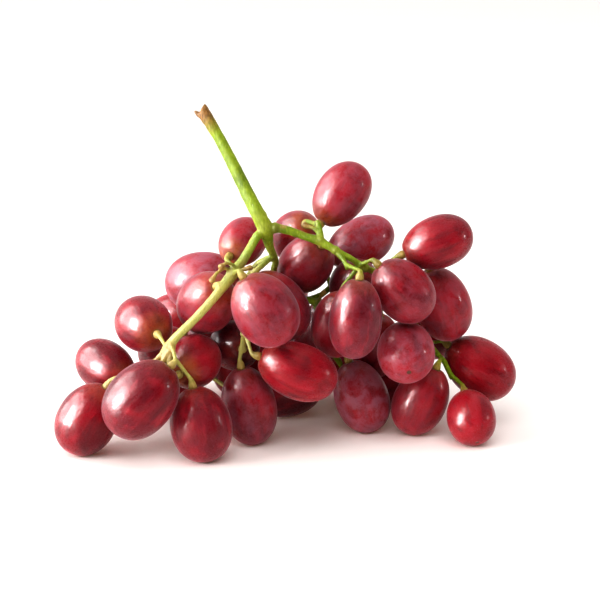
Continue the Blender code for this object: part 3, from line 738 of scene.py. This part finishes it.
def paint_stem(mesh, points, grapes):
    """Stores the amounts of brown, tan, pale, and of darker green with painted shade at joins, that
    the stem's material reads.
    """
    brown = painted(points, frame_point(*CUT_TOP), CUT_BROWN) ** CUT_CURVE
    tan = np.zeros(len(points))
    for start, _, _, _ in grapes.values():
        tan = np.maximum(tan, painted(points, start, CUSHION_TAN))
    for tip in BARE_TIPS:
        brown = np.maximum(brown, painted(points, frame_point(*tip), KNOB_BROWN))
        tan = np.maximum(tan, painted(points, frame_point(*tip), KNOB_TAN))
    for place, radii in SWELLINGS:
        paint = Paint(1, max(radii) * SWELLING_SPREAD, 1)
        tan = np.maximum(tan, painted(points, frame_point(*place), paint) * SWELLING_SHARE)
    for place, size in TAN_SPOTS:
        tan = np.maximum(tan, painted(points, frame_point(*place), spot_paint(size, MOST_TAN)))
    # Darker green round joins, partly painted shade beside knobs and joins.
    olive_and_shade = np.zeros(len(points))
    for place, size in OLIVE_AND_SHADE_SPOTS:
        olive_and_shade = np.maximum(olive_and_shade, painted(points, frame_point(*place), spot_paint(size, 1)))
    low = np.clip((PALE_BELOW - points[:, 2] / MM) / PALE_OVER, 0, 1)
    left = np.clip(-points[:, 0] / MM / PALE_ACROSS, 0, 1)
    store(mesh, "stem_paint", np.stack([brown, tan, low * left], axis=1))
    store(mesh, "stem_olive_and_shade", olive_and_shade)
    store(mesh, "stem_place", points / MM)


def add_piece(name, mesh, material):
    """Puts a finished mesh in the scene as a piece of one material."""
    mesh.materials.clear()
    mesh.materials.append(material)
    piece = bpy.data.objects.new(name, mesh)
    bpy.context.scene.collection.objects.link(piece)
    return piece


def dress_grapes(material):
    """Gives every grape its skin, and returns what was measured of each."""
    stem_points, _ = corners_of("stem")
    grapes = {}
    for name in sorted(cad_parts):
        if name == "stem":
            continue
        grapes[name] = measure_grape(name, stem_points)
        piece = add_piece(name + "_skin", berry_mesh(name, *grapes[name]), material)
        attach(piece, "root")
        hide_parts(name)
    return grapes


def dress_stem(grapes, material):
    """The stem as one grown body: joints swell, cushions meet the skin, its surface is rough."""
    mesh = grown_together(stem_form(grapes))
    points = roughened(mesh)
    mesh.vertices.foreach_set("co", points.ravel())
    paint_stem(mesh, points, grapes)
    mesh.shade_smooth()
    mesh.update()
    piece = add_piece("stem_skin", mesh, material)
    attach(piece, "root")
    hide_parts("stem")


def table():
    """A plain white surface under the bunch."""
    mesh = bpy.data.meshes.new("table_top")
    signs = ((-1, -1), (1, -1), (1, 1), (-1, 1))
    corners = [(x * TABLE_HALF, y * TABLE_HALF, 0) for x, y in signs]
    mesh.from_pydata(corners, [], [(0, 1, 2, 3)])
    mesh.materials.append(table_material())
    made = bpy.data.objects.new("table_top", mesh)
    made.location.z = -TABLE_DROP
    bpy.context.scene.collection.objects.link(made)


def add_lamp(lamp):
    """A soft rectangle of light. It may show only as a reflection, or only light the surfaces."""
    data = bpy.data.lights.new(lamp.name, "AREA")
    data.shape = "RECTANGLE"
    data.size, data.size_y = lamp.size
    data.energy = lamp.power
    made = bpy.data.objects.new(lamp.name, data)
    made.location = lamp.place
    way = Vector(lamp.target) - Vector(lamp.place)
    made.rotation_euler = way.to_track_quat("-Z", "Y").to_euler()
    made.visible_glossy = lamp.shines
    made.visible_diffuse = lamp.lights
    bpy.context.scene.collection.objects.link(made)


def room_light():
    """Soft white light all round, dim from low in front and bright from high behind."""
    world = bpy.data.worlds.new("studio")
    world.use_nodes = True
    nodes, links = world.node_tree.nodes, world.node_tree.links
    sky = nodes["Background"]
    way = nodes.new("ShaderNodeTexCoord").outputs["Generated"]
    lean = nodes.new("ShaderNodeVectorMath")
    lean.operation = "DOT_PRODUCT"
    links.new(way, lean.inputs[0])
    lean.inputs[1].default_value = ROOM_WAY
    ramp = nodes.new("ShaderNodeMapRange")
    ramp.interpolation_type = "SMOOTHSTEP"
    links.new(lean.outputs["Value"], ramp.inputs["Value"])
    ramp.inputs["From Min"].default_value, ramp.inputs["From Max"].default_value = ROOM_FROM
    ramp.inputs["To Min"].default_value, ramp.inputs["To Max"].default_value = ROOM_STRENGTH
    links.new(ramp.outputs[0], sky.inputs["Strength"])
    sky.inputs["Color"].default_value = ROOM_COLOUR
    bpy.context.scene.world = world


def add_camera():
    """The photograph's view: level across, and a little from above."""
    data = bpy.data.cameras.new("camera")
    data.sensor_width = SENSOR
    data.lens = SENSOR / 2 * CAMERA_AWAY / VIEW_HALF_WIDTH
    camera = bpy.data.objects.new("camera", data)
    tilt = math.radians(CAMERA_TILT)
    camera.location = CAMERA_AIM - Vector((0, math.cos(tilt), -math.sin(tilt))) * CAMERA_AWAY
    camera.rotation_euler = (math.radians(90) - tilt, 0, 0)
    scene = bpy.context.scene
    scene.collection.objects.link(camera)
    scene.camera = camera
    scene.view_settings.view_transform = "Standard"
    scene.view_settings.exposure = EXPOSURE
    scene.view_settings.gamma = GAMMA


measured = dress_grapes(skin_material())
dress_stem(measured, stem_material())
table()
room_light()
for lamp in LAMPS:
    add_lamp(lamp)
add_camera()
